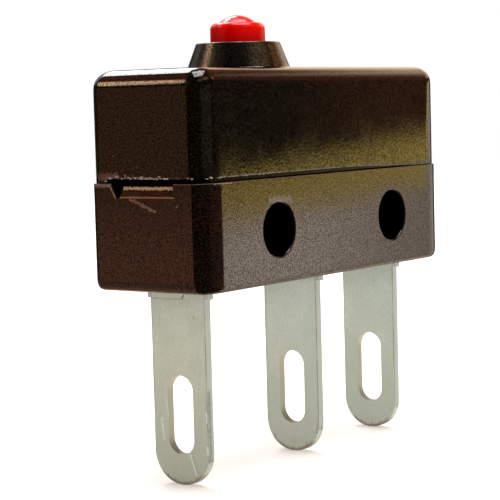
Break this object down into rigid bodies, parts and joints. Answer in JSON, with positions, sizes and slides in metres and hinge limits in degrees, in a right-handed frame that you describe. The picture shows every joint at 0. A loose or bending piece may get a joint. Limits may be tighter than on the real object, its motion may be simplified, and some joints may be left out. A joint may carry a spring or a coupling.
{
  "type": "snap action switch",
  "caption": "Subminiature snap action switch: a red pin plunger in a tapered boss on a dark brown moulded case with cross mounting holes and slotted solder terminals.",
  "frame": {"origin": "midway between the axes of the two mounting holes, at half the thickness of the case", "axes": "+X along the case away from the plunger end, +Y through the mounting holes from the seam side to the plain side, +Z the way the plunger stands out"},
  "size_m": [0.0198, 0.0064, 0.0207],
  "materials": {
    "base_moulding": "satin moulded phenolic, reddish brown",
    "cover_moulding": "satin moulded phenolic, very dark brown",
    "red_button": "glossy red moulding",
    "plated_terminal": "dull tin plate on brass, scratched",
    "spring_metal": "beryllium copper strip",
    "rivet_metal": "plated brass",
    "contact_silver": "silver contact alloy"
  },
  "bodies": {
    "case": {"base": "base_moulding", "cover": "cover_moulding", "common_terminal": "plated_terminal", "normally_open_terminal": "plated_terminal", "normally_closed_terminal": "plated_terminal", "spring_rivet": "rivet_metal", "normally_open_contact": "contact_silver", "normally_closed_contact": "contact_silver"},
    "plunger": {"plunger": "red_button"},
    "contact_spring": {"snap_spring": "spring_metal", "moving_contact": "contact_silver"}
  },
  "joints": [
    {"name": "plunger_slide", "type": "slide", "parent": "case", "child": "plunger", "axis": [0, 0, -1], "range_m": [0, 0.00045], "stiffness_N_per_m": 2200, "springref_m": -0.0002},
    {"name": "spring_swing", "type": "hinge", "parent": "case", "child": "contact_spring", "pos_m": [-0.0072, 0, 0.00376], "axis": [0, 1, 0], "range_deg": [0, 2.4]}
  ],
  "couplings": [
    {"joint": "spring_swing", "follows": "plunger_slide", "rad_per_m": 92.2}
  ]
}
